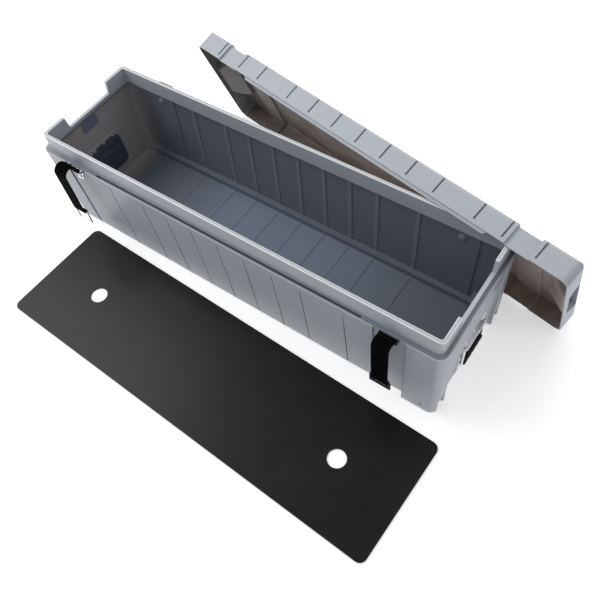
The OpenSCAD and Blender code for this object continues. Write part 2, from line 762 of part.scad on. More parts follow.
module anchor_bolts() color("silver") all_anchor_places() {
    translate([0, anchor_t - zone_depth + bolt_head_h, 0])
        rotate([90, 0, 0]) cylinder(r = bolt_head_r, h = bolt_head_h, $fn = 6);
    translate([0, anchor_t - zone_depth, 0])
        rotate([90, 0, 0]) cylinder(r = bolt_r, h = anchor_t + wall + cap_h/2);
}

module anchor_caps() color("lightslategray") all_anchor_places()
    translate([0, -zone_depth - wall, 0]) rotate([90, 0, 0]) difference() {
        intersection() {
            translate([0, 0, cap_h - dome_r]) sphere(dome_r);
            cylinder(r = cap_r, h = cap_h);
        }
        translate([0, 0, -overrun]) cylinder(r = bolt_r + pin_fit, h = cap_h/2 + overrun);
    }

base_shell();
lid_shell();
cover_sheet();
handle_plate(-1);  // handle_plate_left
handle_plate(1);  // handle_plate_right
handle_bail(-1);  // handle_bail_left
handle_bail(1);  // handle_bail_right
handle_grip(-1);  // handle_grip_left
handle_grip(1);  // handle_grip_right
handle_rivets(-1);  // handle_rivets_left
handle_rivets(1);  // handle_rivets_right
rivet_washers(-1);  // rivet_washers_left
rivet_washers(1);  // rivet_washers_right
wheel(-1);  // wheel_front
wheel(1);  // wheel_rear
axle(-1);  // axle_front
axle(1);  // axle_rear
anchor(-1, -1);  // anchor_front_left
anchor(-1, 1);  // anchor_front_right
anchor(1, -1);  // anchor_rear_left
anchor(1, 1);  // anchor_rear_right
strap(-1, -1, front_left_rise, front_left_bend, front_left_hang);  // strap_front_left
strap(-1, 1, 0, front_right_bend, strap_hang);  // strap_front_right
strap(1, -1, 0, rear_left_bend, strap_hang);  // strap_rear_left
strap(1, 1, 0, rear_right_bend, strap_hang);  // strap_rear_right
wire_hook(-1, -1, front_left_bend, front_left_hang);  // wire_hook_front_left
wire_hook(1, 1, rear_right_bend, strap_hang);  // wire_hook_rear_right
slot_buckle(-1, 1, front_right_bend, strap_hang);  // slot_buckle_front_right
slot_buckle(1, -1, rear_left_bend, strap_hang);  // slot_buckle_rear_left
anchor_bolts();
anchor_caps();
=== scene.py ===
"""Long moulded flight case with its lid lifted off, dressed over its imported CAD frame.

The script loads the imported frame, gives most solids a softened copy or a detailed piece of
its own, dresses each with a procedural finish, and sets the floor, the lights and the camera.
"""

import logging
import math
from dataclasses import dataclass, field
from enum import Enum
from typing import Any, Callable, Iterable, Optional, Sequence, Union

import bmesh
import bpy
from mathutils import Euler, Matrix, Vector


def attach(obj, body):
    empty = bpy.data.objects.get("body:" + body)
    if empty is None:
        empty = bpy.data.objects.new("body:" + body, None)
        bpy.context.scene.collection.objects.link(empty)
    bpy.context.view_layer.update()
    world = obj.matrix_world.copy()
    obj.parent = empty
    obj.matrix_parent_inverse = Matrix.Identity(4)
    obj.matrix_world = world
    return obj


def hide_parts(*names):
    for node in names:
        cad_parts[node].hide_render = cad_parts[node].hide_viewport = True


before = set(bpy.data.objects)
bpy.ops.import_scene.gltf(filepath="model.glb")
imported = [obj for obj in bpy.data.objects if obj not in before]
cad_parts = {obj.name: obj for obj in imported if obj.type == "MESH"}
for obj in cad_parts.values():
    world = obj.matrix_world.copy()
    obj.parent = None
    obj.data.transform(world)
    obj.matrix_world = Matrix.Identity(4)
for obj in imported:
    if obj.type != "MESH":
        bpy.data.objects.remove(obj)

LOG = logging.getLogger("flight_case")
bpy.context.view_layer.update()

# Distance and angle within which a CAD copy's points and faces are joined, sharpness in degrees
# from which edges are rounded, widths of the rounding, where the rim starts, and the least share of
# painted highlight that the rim's faces get.
MERGE = 2e-6
FLAT = 0.4
CURVED = 50.0
PRESSED = 40.0
HAIR, THIN, SMALL = 0.0002, 0.0004, 0.0005
RIM_FROM = 0.295
RIM_HIGHLIGHT = 0.45

Colour = tuple[float, float, float]
Value = Union["Wire", float, Sequence[float]]


class Body(str, Enum):
    """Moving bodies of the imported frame."""

    CASE = "case"
    LID = "lid"
    SHEET = "cover_sheet"


class Slot(str, Enum):
    """Material slots of the record."""

    SHELL = "shell"
    SHEET = "sheet"
    WEBBING = "webbing"
    GRIP = "grip"
    WHEEL = "wheel"
    BLACK = "black_buckle"
    STEEL = "plated_steel"


class Side(Enum):
    """The two long sides of the case, as the sign of Y."""

    FRONT = -1
    REAR = 1


class Way(Enum):
    """The two ends of the case, as the sign of X."""

    LEFT = -1
    RIGHT = 1


class Wire:
    """One value in a material, which plain sums and products can be written with."""

    def __init__(self, shader: "Shader", socket: bpy.types.NodeSocket) -> None:
        """Keeps the socket and the shader it belongs to."""
        self.shader = shader
        self.socket = socket

    def __add__(self, other: Value) -> "Wire":
        """Adds a value."""
        return self.shader.math("ADD", self, other)

    __radd__ = __add__

    def __mul__(self, other: Value) -> "Wire":
        """Multiplies by a value."""
        return self.shader.math("MULTIPLY", self, other)

    __rmul__ = __mul__

    def __sub__(self, other: Value) -> "Wire":
        """Takes a value away."""
        return self.shader.math("SUBTRACT", self, other)

    def __rsub__(self, other: Value) -> "Wire":
        """Is taken away from a value."""
        return self.shader.math("SUBTRACT", other, self)

    def __abs__(self) -> "Wire":
        """Drops the sign."""
        return self.shader.math("ABSOLUTE", self)

    def above(self, other: Value) -> "Wire":
        """Is 1 where this value is greater than the other, and 0 elsewhere."""
        return self.shader.math("GREATER_THAN", self, other)

    def below(self, other: Value) -> "Wire":
        """Is 1 where this value is less than the other, and 0 elsewhere."""
        return self.shader.math("LESS_THAN", self, other)

    def ramp(self, low: float, high: float, start: float = 0.0, stop: float = 1.0) -> "Wire":
        """Maps this value from one range smoothly onto another.

        Args:
            low: Value at which the result is start.
            high: Value at which the result is stop.
            start: Result at low.
            stop: Result at high.

        Returns:
            The mapped value, held at its two ends.
        """
        return self.shader.node(
            "ShaderNodeMapRange",
            {"interpolation_type": "SMOOTHSTEP"},
            {0: self, 1: low, 2: high, 3: start, 4: stop},
        )


class Shader:
    """A new material on one Principled shader."""

    def __init__(self, name: str) -> None:
        """Starts the material with its output and shader."""
        self.material = bpy.data.materials.new(name)
        self.material.use_nodes = True
        self.tree = self.material.node_tree
        self.tree.nodes.clear()
        out = self.tree.nodes.new("ShaderNodeOutputMaterial")
        self.surface = self.tree.nodes.new("ShaderNodeBsdfPrincipled")
        self.tree.links.new(self.surface.outputs[0], out.inputs[0])

    def feed(self, socket: bpy.types.NodeSocket, value: Value) -> None:
        """Links a value to a socket, or sets it there.

        Args:
            socket: Input socket of a node.
            value: A wire to link, or a number or colour to set.
        """
        if isinstance(value, Wire):
            self.tree.links.new(value.socket, socket)
            return
        current = getattr(socket, "default_value", None)
        if isinstance(value, (tuple, list)) and current is not None and len(current) == 4:
            value = (*value[:3], 1.0)
        socket.default_value = value

    def node(
        self,
        kind: str,
        settings: Optional[dict[str, Any]] = None,
        sockets: Optional[dict[Union[int, str], Value]] = None,
        out: Union[int, str] = 0,
    ) -> Wire:
        """Adds one node.

        Args:
            kind: Type name of the node.
            settings: Its own settings, which are set first.
            sockets: Values or links of its input sockets.
            out: Output that is handed back.

        Returns:
            The chosen output.
        """
        made = self.tree.nodes.new(kind)
        for key, value in (settings or {}).items():
            setattr(made, key, value)
        for key, value in (sockets or {}).items():
            self.feed(made.inputs[key], value)
        return Wire(self, made.outputs[out])

    def math(self, operation: str, *values: Value) -> Wire:
        """Adds one Math node on the given values."""
        return self.node("ShaderNodeMath", {"operation": operation}, dict(enumerate(values)))

    def mix(self, factor: Value, one: Value, other: Value) -> Wire:
        """Blends two colours by a factor."""
        return self.node(
            "ShaderNodeMix", {"data_type": "RGBA"}, {0: factor, 6: one, 7: other}, out=2
        )

    def place(self, scale: Sequence[float] = (1, 1, 1), turn: Sequence[float] = (0, 0, 0)) -> Wire:
        """Gives the point on the piece, stretched and turned.

        Args:
            scale: Factor along each axis.
            turn: Turn about each axis in degrees.

        Returns:
            The point as a vector.
        """
        point = self.node("ShaderNodeTexCoord", out="Object")
        return self.node(
            "ShaderNodeMapping",
            {},
            {"Vector": point, "Scale": scale, "Rotation": [math.radians(a) for a in turn]},
        )

    def axis(self, point: Wire, name: str) -> Wire:
        """Picks X, Y or Z out of a vector."""
        return self.node("ShaderNodeSeparateXYZ", {}, {0: point}, out=name)

    def noise(self, point: Value, scale: float, detail: float = 3.0, rough: float = 0.5) -> Wire:
        """Gives soft random patches from 0 to 1."""
        return self.node(
            "ShaderNodeTexNoise",
            {},
            {"Vector": point, "Scale": scale, "Detail": detail, "Roughness": rough},
        )

    def mark(self, name: str) -> Wire:
        """Reads a number that the mesh carries at its points or faces."""
        return self.node("ShaderNodeAttribute", {"attribute_name": name}, {}, out="Fac")

    def bump(self, height: Wire, strength: float, depth: float) -> None:
        """Raises the surface by a height between 0 and 1.

        Args:
            height: The height.
            strength: Share of the relief that shows.
            depth: Height in metres that 1 stands for.
        """
        normal = self.node(
            "ShaderNodeBump", {}, {"Strength": strength, "Distance": depth, "Height": height}
        )
        self.feed(self.surface.inputs["Normal"], normal)

    def dress(self, **values: Value) -> None:
        """Sets the shader's sockets; an underscore stands for a space."""
        for key, value in values.items():
            self.feed(self.surface.inputs[key.replace("_", " ")], value)


Spot = tuple[Wire, Wire, Wire]


@dataclass(frozen=True)
class MouldedPlastic:
    """Satin polyethylene with fine grain, faint flow marks, scuffs, and pale edges of wear and
    painted highlight.

    The shares that are 0 here switch on what only one of the shells shows.

    Attributes:
        dark: Tone of the outside's broad patches.
        inner: Tone of the inside: painted shade, the same plastic darkened where the walls keep the
            light out.
        floor_sheen: Tone of a painted sheen on the inner floor's middle, which fades over
            floor_sheen_z and floor_sheen_x.
        web: Tone of uneven dark patches inside, painted shade like the mottled shade among the
            lid's ribs, turned by web_yaw degrees.
        warm: Tone of the inside that is full at warm_from and gone at warm_to along X: painted
            light on the case's left end, which is lighter, and painted shade over the lid's left
            part, which is darker.
        seat: Tone behind a handle, within seat_half of the height seat_z: a dark blue-grey patch,
            partly the dish's dark back carried onto the plastic, partly painted shade round the
            dish.
        painted_shade: Tone of the painted shade in grooves and in the dark lines.
        bright: Tone of a painted highlight on the lip and on the line along the shoulder's edge.
        brow: Half length and half width from which that edge is measured out, and the height
            where its painted highlight line starts.
        brow_out: Distance out from which that painted highlight line shows.
        zone: Middle, half width and top of a strap zone.
        rows: Pitches from the middle up to which the grooves repeat.
        last: Place of the last groove.
        line: Half width of a dark line.
        wall_from: Distance from the middle beyond which dark lines show.
    """

    name: str
    colour: Colour = (0.375, 0.405, 0.45)
    pale: Colour = (0.66, 0.69, 0.74)
    dark: Colour = (0.345, 0.375, 0.42)
    inner: Colour = (0.172, 0.194, 0.240)
    floor_sheen: Colour = (0.25, 0.31, 0.40)
    floor_sheen_share: float = 0.0
    floor_sheen_z: tuple[float, float] = (0.006, 0.02)
    floor_sheen_x: tuple[float, float, float, float] = (-0.5, -0.15, 0.1, 0.5)
    web: Colour = (0.062, 0.046, 0.036)
    web_share: float = 0.0
    web_yaw: float = 0.0
    warm: Colour = (0.385, 0.350, 0.345)
    warm_from: float = -0.64
    warm_to: float = -0.56
    seat: Colour = (0.075, 0.090, 0.118)
    seat_half: tuple[float, float] = (0.064, 0.058)
    seat_z: float = 0.106
    painted_shade: Colour = (0.020, 0.022, 0.026)
    bright: Colour = (0.95, 0.955, 0.96)
    brow: tuple[float, float, float] = (0.625, 0.1595, 0.2875)
    brow_out: float = 0.0222
    brow_high: float = 0.0035
    brow_highlight_share: float = 0.0
    zone: tuple[float, float, float] = (0.511, 0.043, 0.284)
    zone_share: float = 0.0
    pitch: float = 0.087
    rows: float = 3.5
    last: float = 0.385
    line: float = 0.0018
    wall_from: float = 0.15
    groove_top: float = 0.2718
    roughness: float = 0.38
    grain: float = 0.14
    relief: float = 0.0008

    def material(self) -> bpy.types.Material:
        """Builds the plastic.

        Returns:
            The material.
        """
        s = Shader(self.name)
        point = s.place()
        at = (s.axis(point, "X"), s.axis(point, "Y"), s.axis(point, "Z"))
        inside = s.mark("inside")
        patches = s.noise(point, 2.2, 4.0, 0.6)
        cloud = s.noise(point, 14.0, 5.0, 0.65)
        tone = s.mix(patches.ramp(0.3, 0.75), self.dark, self.colour)
        tone = s.mix(cloud.ramp(0.35, 0.8, 0.0, 0.02), tone, self.pale)
        # The inner tone is painted shade: the inside is the same plastic as the outside, only
        # darker for lack of light.
        tone = s.mix(inside, tone, self.inner_tone(s, at, patches, cloud))
        # Upward faces of the lid and the faces of the case's rim are mixed towards the pale tone
        # outside: a painted highlight where light falls from above.
        tone = s.mix(s.mark("level") * (1 - inside) * 0.6, tone, self.pale)
        # Grooves are mixed to a near-black tone: painted shade where the light does not reach into
        # them.
        tone = s.mix(s.mark("groove"), tone, self.painted_shade)
        # Painted shade lines beside the strap zones' sunk steps and down the grooves of the long
        # walls.
        if self.zone_share:
            tone = s.mix(self.shade_lines(s, at, inside) * self.zone_share, tone, self.painted_shade)
        streak = s.noise(s.place((9, 9, 160), (12, 0, 0)), 1.0, 6.0, 0.7).ramp(0.66, 0.74)
        fine = s.noise(s.place((220, 14, 14), (0, 24, 8)), 1.0, 4.0, 0.6).ramp(0.68, 0.74)
        marks = s.math("MAXIMUM", streak * 0.45, fine * 0.5)
        tone = s.mix(marks * 0.12, tone, self.pale)
        # Rounded edges are mixed towards the pale tone in patches: partly wear, partly a painted
        # highlight where the rounding catches the light.
        wear_and_highlight = s.noise(point, 30.0, 3.0, 0.6).ramp(0.25, 0.7, 0.35, 0.9)
        worn = s.mark("edge") * wear_and_highlight * (1 - inside * 0.92)
        tone = s.mix(worn * 0.75, tone, self.pale)
        # The rim's rounded lip is mixed to near white: a painted highlight.
        tone = s.mix(s.mark("lip"), tone, self.bright)
        # A bright line round the shoulder's outer edge: a painted highlight.
        if self.brow_highlight_share:
            tone = s.mix(self.brow_highlight(s, at) * self.brow_highlight_share, tone, self.bright)
        skin = s.noise(point, 900.0, 2.0, 0.5)
        flow = s.noise(s.place((1.5, 1.5, 7)), 3.0, 2.0, 0.5)
        s.dress(
            Base_Color=tone,
            Roughness=self.roughness + cloud * 0.05 + marks * 0.15,
            Specular_IOR_Level=0.45,
        )
        s.bump(skin * 0.3 + flow * 0.4 + marks * -0.05, self.grain, self.relief)
        return s.material

    def inner_tone(self, s: Shader, at: Spot, patches: Wire, cloud: Wire) -> Wire:
        """Gives the tone of the inside, which is painted shade with painted light and shade of its
        own.

        Args:
            s: The material in work.
            at: The point's place along each axis.
            patches: Broad random patches.
            cloud: Finer random patches.

        Returns:
            The tone.
        """
        x, y, z = at
        # Along X the inside goes to the warm tone: lighter on the case's left end as painted light,
        # darker over the lid's left part as painted shade.
        tone = s.mix(x.ramp(self.warm_from, self.warm_to, 1.0, 0.0), self.inner, self.warm)
        tone = s.mix(cloud.ramp(0.35, 0.8, 0.0, 0.012), tone, self.dark)
        # A painted sheen: the inner floor's middle is mixed towards a lighter blue, as reflected
        # light would make it, fading up the walls and towards both ends, broken by patches.
        if self.floor_sheen_share:
            low = z.ramp(*self.floor_sheen_z, 1.0, 0.0)
            middle = x.ramp(*self.floor_sheen_x[:2]) * x.ramp(*self.floor_sheen_x[2:], 1.0, 0.0)
            floor_sheen = low * middle * patches.ramp(0.2, 0.8, 0.6, 1.0) * self.floor_sheen_share
            tone = s.mix(floor_sheen, tone, self.floor_sheen)
        # Painted shade in uneven, stretched patches over the inside.
        if self.web_share:
            webs = s.noise(s.place((9, 22, 22), (0, 0, self.web_yaw)), 1.0, 5.0, 0.62)
            tone = s.mix(webs.ramp(0.38, 0.62) * self.web_share, tone, self.web)
        # Behind each handle the inside is darkened to a blue-grey patch: partly the dish's dark
        # back carried onto the plastic, partly painted shade round the dish.
        wide = y * (1 / self.seat_half[0])
        high = (z - self.seat_z) * (1 / self.seat_half[1])
        plate = (wide * wide * wide * wide + high * high * high * high).below(1.0)
        return s.mix(s.mark("seat") * plate, tone, self.seat)

    def shade_lines(self, s: Shader, at: Spot, inside: Wire) -> Wire:
        """Gives the painted shade lines beside the strap zones and down the grooves of the long
        walls.

        Args:
            s: The material in work.
            at: The point's place along each axis.
            inside: Share of the inner tone.

        Returns:
            1 on a line and 0 elsewhere.
        """
        x, y, z = at
        reach = abs(x)
        gap = abs(abs(reach - self.zone[0]) - self.zone[1])
        row = s.math("PINGPONG", reach, self.pitch / 2) + reach.above(self.pitch * self.rows)
        row = s.math("MINIMUM", row, abs(reach - self.last))
        beside = gap.below(self.line) * z.below(self.zone[2])
        down = row.below(self.line) * z.below(self.groove_top)
        return s.math("MAXIMUM", beside, down) * abs(y).above(self.wall_from) * inside.below(0.5)

    def brow_highlight(self, s: Shader, at: Spot) -> Wire:
        """Gives the painted highlight line round the shoulder's outer edge.

        Args:
            s: The material in work.
            at: The point's place along each axis.

        Returns:
            1 on the line and 0 elsewhere.
        """
        x, y, z = at
        out_x = s.math("MAXIMUM", abs(x) - self.brow[0], 0.0)
        out_y = s.math("MAXIMUM", abs(y) - self.brow[1], 0.0)
        out = (out_x * out_x + out_y * out_y).above(self.brow_out ** 2)
        return out * z.above(self.brow[2]) * z.below(self.brow[2] + self.brow_high)


@dataclass(frozen=True)
class Webbing:
    """Woven polyester belt with ribs along it, a cross weave, selvedges and sewn boxes."""

    name: str
    colour: Colour = (0.0014, 0.0014, 0.0017)
    worn: Colour = (0.004, 0.0038, 0.0043)
    thread: Colour = (0.016, 0.016, 0.017)
    half_width: float = 0.023
    rib: float = 0.0021
    pick: float = 0.0016
    selvedge: float = 0.0022
    stitch: float = 0.0034
    seam_at: float = 0.0165
    seam_half: float = 0.00055
    relief: float = 0.0004

    def material(self) -> bpy.types.Material:
        """Builds the webbing on the marks along and across that the belt carries.

        Returns:
            The material.
        """
        s = Shader(self.name)
        along, across, sewn = s.mark("along"), s.mark("across"), s.mark("sewn")
        rib = abs(s.math("SINE", across * (math.pi / self.rib)))
        pick = s.math("SINE", along * (2 * math.pi / self.pick) + rib * 1.4) * 0.5 + 0.5
        selvedge = abs(across).above(self.half_width - self.selvedge)
        weave = rib * 0.6 + pick * 0.4
        fuzz = s.noise(s.place(), 60.0, 4.0, 0.7)
        dash = s.math("SINE", along * (2 * math.pi / self.stitch)).above(-0.35)
        seam = abs(abs(across) - self.seam_at).below(self.seam_half)
        lines = seam * dash * sewn.above(0.5)
        tone = s.mix(weave * fuzz.ramp(0.2, 0.8, 0.3, 1.0), self.colour, self.worn)
        tone = s.mix(selvedge * 0.35, tone, self.worn)
        tone = s.mix(lines, tone, self.thread)
        s.dress(Base_Color=tone, Roughness=0.86 - lines * 0.2, Specular_IOR_Level=0.03)
        s.bump(weave + selvedge * 0.4 + lines * 1.2, 0.6, self.relief)
        return s.material


@dataclass(frozen=True)
class EmbossedSheet:
    """Thin near-black plastic sheet with a close embossed weave and handling marks."""

    name: str
    colour: Colour = (0.0035, 0.0035, 0.0042)
    light: Colour = (0.014, 0.014, 0.018)
    pitch: float = 0.014
    diagonal: float = 0.7071
    relief: float = 0.0004

    def material(self) -> bpy.types.Material:
        """Builds the sheet.

        Returns:
            The material.
        """
        s = Shader(self.name)
        point = s.place((1, 1, 1), (0, 0, 2))
        x, y = s.axis(point, "X"), s.axis(point, "Y")
        turn = 2 * math.pi / self.pitch
        one = s.math("SINE", (x + y) * turn * self.diagonal)
        two = s.math("SINE", (x - y) * turn * self.diagonal)
        weave = (one * two).ramp(-0.8, 0.8)
        cloud = s.noise(point, 5.0, 5.0, 0.6)
        scratch = s.noise(s.place((10, 260, 1), (0, 0, 28)), 1.0, 4.0, 0.6).ramp(0.7, 0.76)
        fine = s.noise(s.place(), 700.0, 2.0, 0.5)
        tone = s.mix(cloud.ramp(0.3, 0.8, 0.0, 0.5), self.colour, self.light)
        tone = s.mix(weave * 0.18 + scratch * 0.14 + s.mark("edge") * 0.3, tone, self.light)
        s.dress(
            Base_Color=tone,
            Roughness=0.25 + cloud * 0.1 + weave * 0.04 + scratch * 0.1,
            Specular_IOR_Level=0.3,
        )
        s.bump(weave * 0.8 + fine * 0.2, 0.14, self.relief)
        return s.material


@dataclass(frozen=True)
class Metal:
    """Plated or painted metal with brushing, small dents and worn edges."""

    name: str
    colour: Colour = (0.74, 0.75, 0.77)
    worn: Colour = (0.55, 0.55, 0.56)
    metallic: float = 1.0
    roughness: float = 0.24
    back_tone: Colour = (0.055, 0.068, 0.092)

    def material(self) -> bpy.types.Material:
        """Builds the metal, which turns dark blue-grey and dull where a piece is marked as inside.

        Returns:
            The material.
        """
        s = Shader(self.name)
        brush = s.noise(s.place((30, 900, 30)), 1.0, 3.0, 0.6)
        spots = s.noise(s.place(), 55.0, 4.0, 0.6)
        edge = s.mark("edge")
        tone = s.mix(spots.ramp(0.4, 0.8, 0.0, 0.6) + edge * 0.3, self.colour, self.worn)
        # Where marked as inside, as the handle dish's back is, the metal goes dark blue-grey and
        # loses its shine, to match how dark the dish's back looks.
        inside = s.mark("inside")
        tone = s.mix(inside, tone, self.back_tone)
        s.dress(
            Base_Color=tone,
            Metallic=(1 - inside) * self.metallic,
            Roughness=self.roughness + spots * 0.1 + brush * 0.08 + inside * 0.15,
        )
        s.bump(brush * 0.4 + spots * 0.6, 0.15, 0.0003)
        return s.material


@dataclass(frozen=True)
class Rubber:
    """Matt black rubber with a fine skin, dust and scuffs."""

    name: str
    colour: Colour = (0.012, 0.012, 0.013)
    dust: Colour = (0.06, 0.058, 0.055)
    roughness: float = 0.62

    def material(self) -> bpy.types.Material:
        """Builds the rubber.

        Returns:
            The material.
        """
        s = Shader(self.name)
        dust = s.noise(s.place(), 40.0, 5.0, 0.65)
        skin = s.noise(s.place(), 1400.0, 2.0, 0.5)
        tone = s.mix(dust.ramp(0.45, 0.85, 0.0, 0.5) + s.mark("edge") * 0.2, self.colour, self.dust)
        s.dress(Base_Color=tone, Roughness=self.roughness + dust * 0.15, Specular_IOR_Level=0.4)
        s.bump(skin, 0.3, 0.0002)
        return s.material


Finish = Union[MouldedPlastic, Webbing, EmbossedSheet, Metal, Rubber]


@dataclass
class Finishes:
    """One material for each finish, made once."""

    made: dict[str, bpy.types.Material] = field(default_factory=dict)

    def of(self, finish: Finish) -> bpy.types.Material:
        """Gives the material of a finish, and makes it the first time."""
        if finish.name not in self.made:
            self.made[finish.name] = finish.material()
        return self.made[finish.name]


# The case's plastic carries painted shade inside and in its grooves, a painted sheen on the inner
# floor and a painted highlight along the shoulder's edge.
CASE_PLASTIC = MouldedPlastic("case_plastic", floor_sheen_share=0.95, brow_highlight_share=0.36, zone_share=0.85)
# The lid's inside is painted shade: darker than its outside, darker still towards its left part and
# in uneven patches.
LID_PLASTIC = MouldedPlastic(
    "lid_plastic",
    colour=(0.36, 0.40, 0.455),
    dark=(0.34, 0.375, 0.43),
    inner=(0.315, 0.245, 0.210),
    painted_shade=(0.085, 0.095, 0.110),
    warm=(0.16, 0.138, 0.125),
    warm_from=-0.45,
    warm_to=0.15,
    web_share=0.42,
    web_yaw=10.9,
)
# The pad's tone is darkened like the inside around it: painted shade.
PAD_PLASTIC = MouldedPlastic("pad_plastic", colour=(0.18, 0.225, 0.30), dark=(0.16, 0.20, 0.27))
SHEET_PLASTIC = EmbossedSheet("sheet_plastic")
BELT = Webbing("belt_webbing")
PLATED = Metal("plated_steel")
BRIGHT = Metal("bright_steel", colour=(0.86, 0.87, 0.88), roughness=0.16)
BLACK_METAL = Metal("black_metal", (0.012, 0.012, 0.013), (0.05, 0.05, 0.05), 0.0, 0.4)
GRIP_RUBBER = Rubber("grip_rubber")
TYRE_RUBBER = Rubber("tyre_rubber", colour=(0.02, 0.02, 0.021), dust=(0.1, 0.1, 0.095))


class Workshop:
    """Shared ways to finish a mesh and put it on the frame."""

    def __init__(self, finishes: Finishes) -> None:
        """Keeps the finishes."""
        self.finishes = finishes

    def piece(
        self,
        bm: bmesh.types.BMesh,
        name: str,
        body: str,
        finish: Finish,
        slot: Slot,
        stands_for: Sequence[str] = (),
        smooth: float = 35.0,
    ) -> bpy.types.Object:
        """Turns a finished bmesh into a piece that rides on a body.

        Args:
            bm: The mesh, in its place in the frame.
            name: Name of the piece.
            body: Body that it rides on.
            finish: Its finish.
            slot: Its material slot in the record; not used.
            stands_for: CAD nodes that it replaces.
            smooth: Edges sharper than this many degrees stay sharp.

        Returns:
            The piece.
        """
        mesh = bpy.data.meshes.new(name)
        for face in bm.faces:
            face.smooth = True
        bm.to_mesh(mesh)
        bm.free()
        mesh.set_sharp_from_angle(angle=math.radians(smooth))
        mesh.materials.append(self.finishes.of(finish))
        made = bpy.data.objects.new(name, mesh)
        bpy.context.scene.collection.objects.link(made)
        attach(made, body)
        if stands_for:
            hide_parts(*stands_for)
        even = made.modifiers.new("even_light", "WEIGHTED_NORMAL")
        even.keep_sharp = True
        LOG.info("%s rides on %s with %d faces", name, body, len(mesh.polygons))
        return made

    def soften(
        self,
        node: str,
        body: str,
        finish: Finish,
        slot: Slot,
        width: float,
        segments: int = 2,
        least: float = 32.0,
        inside: Optional[Callable[[Vector, Vector], float]] = None,
        join: bool = True,
        lip: Optional[tuple[float, float]] = None,
    ) -> bpy.types.Object:
        """Stands a copy of a CAD node with rounded edges in the node's place.

        Args:
            node: Name of the node.
            body: Body that it rides on.
            finish: Its finish.
            slot: Its material slot.
            width: Width of the rounding in metres.
            segments: Steps of the rounding.
            least: Edges sharper than this many degrees are rounded.
            inside: Gives the share of the inner tone, which is painted shade, from a face's middle
            and normal, with 2 on a handle's seat and -1 in a groove, which get painted shade of
            their own.
            join: Whether flat neighbours are joined before the rounding.
            lip: Height above which edges get their own rounding, and its width.

        Returns:
            The piece.
        """
        bm = bmesh.new()
        bm.from_mesh(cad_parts[node].data)
        bmesh.ops.remove_doubles(bm, verts=bm.verts, dist=MERGE)
        if join:
            bmesh.ops.dissolve_limit(
                bm, angle_limit=math.radians(FLAT), verts=bm.verts, edges=bm.edges
            )
        limit = math.radians(least)
        if lip is not None:
            self.round_edges(bm, "lip", lip[1], 3, limit, lip[0])
        self.round_edges(bm, "edge", width, segments, limit, -1.0)
        wide = [f for f in bm.faces if len(f.verts) > 4]
        bmesh.ops.triangulate(bm, faces=wide, quad_method="BEAUTY", ngon_method="EAR_CLIP")
        if inside is not None:
            bm.normal_update()
            inner = bm.faces.layers.float.new("inside")
            level = bm.faces.layers.float.new("level")
            seat = bm.faces.layers.float.new("seat")
            groove = bm.faces.layers.float.new("groove")
            for face in bm.faces:
                middle = face.calc_center_median()
                share = inside(middle, face.normal)
                face[seat] = max(0.0, share - 1.0)
                face[groove] = max(0.0, -share)
                face[inner] = max(0.0, min(1.0, share))
                # Faces of the lid and of the case's rim are marked for a painted highlight by how
                # far they face up; the rim's faces get at least a set share of it.
                rim = middle.z > RIM_FROM and body == Body.CASE.value
                high = rim or body != Body.CASE.value
                face[level] = max(0.0, face.normal.z) ** 3 if high else 0.0
                if rim:
                    face[level] = max(face[level], RIM_HIGHLIGHT)
        return self.piece(bm, node + "_form", body, finish, slot, (node,))

    @staticmethod
    def round_edges(
        bm: bmesh.types.BMesh, mark: str, width: float, segments: int, limit: float, above: float
    ) -> None:
        """Rounds the sharp edges that lie above a height, and marks the rounding.

        Args:
            bm: The mesh.
            mark: Name of the mark.
            width: Width of the rounding in metres.
            segments: Steps of the rounding.
            limit: Edges sharper than this angle are rounded.
            above: Height above which the edges lie.
        """
        layer = bm.faces.layers.float.new(mark)
        sharp = [
            e
            for e in bm.edges
            if len(e.link_faces) == 2
            and e.calc_face_angle(0) > limit
            and min(v.co.z for v in e.verts) > above
        ]
        made = bmesh.ops.bevel(
            bm,
            geom=sharp,
            offset=width,
            offset_type="OFFSET",
            segments=segments,
            profile=0.5,
            affect="EDGES",
            clamp_overlap=False,
            material=-1,
        )
        for face in made["faces"]:
            face[layer] = 1.0

    def dress(self, node: str, finish: Finish) -> None:
        """Gives a CAD node that stays in view its finish.

        Args:
            node: Name of the node.
            finish: Its finish.
        """
        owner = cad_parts[node]
        material = self.finishes.of(finish)
        if owner.material_slots:
            for held in owner.material_slots:
                held.material = material
        else:
            owner.data.materials.append(material)
        LOG.info("%s dressed", node)


